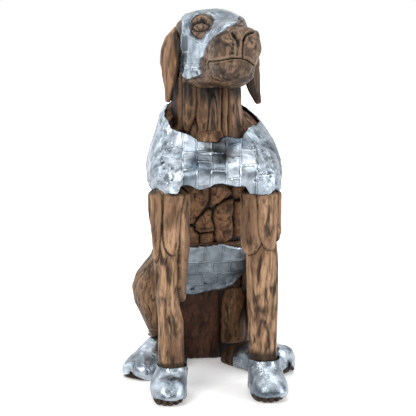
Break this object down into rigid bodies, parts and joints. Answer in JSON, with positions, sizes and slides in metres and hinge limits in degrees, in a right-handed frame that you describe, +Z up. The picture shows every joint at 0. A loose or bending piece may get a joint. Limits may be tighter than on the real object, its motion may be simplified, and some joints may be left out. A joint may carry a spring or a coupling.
{
  "type": "sitting hound sculpture",
  "caption": "Sitting hound pieced together from root-wood logs and slabs with black filler between them, clad in hammered sheet metal on face, shoulders, belly and paws.",
  "frame": {"origin": "middle of the bounding box in X and Y, on the floor", "axes": "+Z up; the dog faces -Y and its left side is at +X"},
  "size_m": [0.3822, 0.6102, 0.807],
  "materials": {
    "wood": "weathered root wood with dark scorch marks",
    "dark_wood": "dark reddish brown root wood, oiled",
    "filler": "matt black filler",
    "aluminium": "hammered sheet with raised seams"
  },
  "bodies": {
    "root": {"body_filler": "filler", "neck_filler": "filler", "seat_slab_front": "dark_wood", "seat_board": "dark_wood", "seat_flank_left": "dark_wood", "seat_flank_right": "dark_wood", "seat_back_left": "dark_wood", "seat_back_right": "dark_wood", "belly_board": "wood", "belly_plate": "aluminium", "flank_slab_left": "wood", "flank_slab_right": "wood", "back_slab_low": "wood", "back_slab_left": "wood", "back_slab_right": "wood", "chest_slab_mottled": "wood", "chest_slab_large": "wood", "chest_strip": "wood", "chest_slab_right": "wood", "chest_slab_upper": "wood", "chest_slab_corner": "wood", "shoulder_slab_left": "wood", "shoulder_slab_right": "wood", "shoulders": "dark_wood", "shoulder_cape": "aluminium", "neck_slab_side_right": "dark_wood", "neck_slab_leaf": "dark_wood", "neck_slab_front": "dark_wood", "neck_slab_narrow": "dark_wood", "neck_slab_side_left": "dark_wood", "neck_slab_nape_left": "dark_wood", "neck_slab_nape": "dark_wood", "neck_slab_nape_right": "dark_wood", "throat_knob": "wood", "foreleg_right": "wood", "foreleg_outer_strip_right": "wood", "foreleg_front_slab_right": "wood", "foreleg_inner_strip_right": "wood", "foreleg_left": "wood", "foreleg_outer_strip_left": "wood", "foreleg_front_slab_left": "wood", "foreleg_inner_strip_left": "wood", "front_paw_right": "dark_wood", "front_paw_cover_right": "aluminium", "front_paw_left": "dark_wood", "front_paw_cover_left": "aluminium", "hind_foot_right": "dark_wood", "hind_foot_cover_right": "aluminium", "haunch_rear_right": "wood", "haunch_front_right": "wood", "hind_foot_left": "dark_wood", "hind_foot_cover_left": "aluminium", "haunch_rear_left": "wood", "haunch_front_left": "wood", "head": "wood", "face_mask": "aluminium", "ear_right": "wood", "ear_left": "wood", "tail": "dark_wood"}
  },
  "joints": []
}
